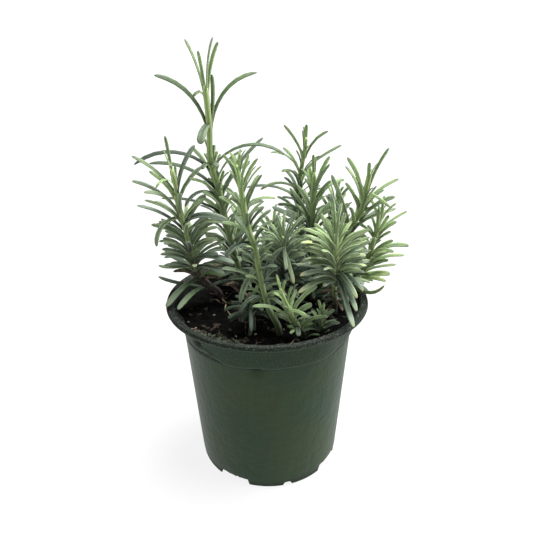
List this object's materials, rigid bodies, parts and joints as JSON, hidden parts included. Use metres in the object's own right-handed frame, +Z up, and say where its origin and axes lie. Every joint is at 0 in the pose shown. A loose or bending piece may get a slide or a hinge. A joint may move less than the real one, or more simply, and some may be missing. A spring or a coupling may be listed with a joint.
{
  "type": "potted lavender",
  "caption": "Young lavender plant: upright shoots with narrow grey-green leaves, growing in soil in a tapered plastic nursery pot.",
  "frame": {"origin": "middle of the pot's flat base, on the surface it stands on", "axes": "+Z up, -Y towards the viewer of the picture, +X to the viewer's right"},
  "size_m": [0.1987, 0.152, 0.3168],
  "materials": {
    "pot_plastic": "moulded dark green polypropylene, satin",
    "potting_soil": "damp dark potting mix of peat, bark and perlite",
    "lavender_foliage": "grey-green felted leaves on square green stems"
  },
  "bodies": {
    "root": {"pot": "pot_plastic", "soil": "potting_soil", "shoot_tall": "lavender_foliage", "shoot_left": "lavender_foliage", "shoot_front": "lavender_foliage", "shoot_crown": "lavender_foliage", "shoot_right": "lavender_foliage", "shoot_far_right": "lavender_foliage", "shoot_middle": "lavender_foliage", "shoot_back_middle": "lavender_foliage", "shoot_rosette": "lavender_foliage", "sprig_front": "lavender_foliage", "sprig_low": "lavender_foliage", "tuft_front": "lavender_foliage", "shoot_back_left": "lavender_foliage", "shoot_back": "lavender_foliage", "shoot_back_right": "lavender_foliage"}
  },
  "joints": []
}
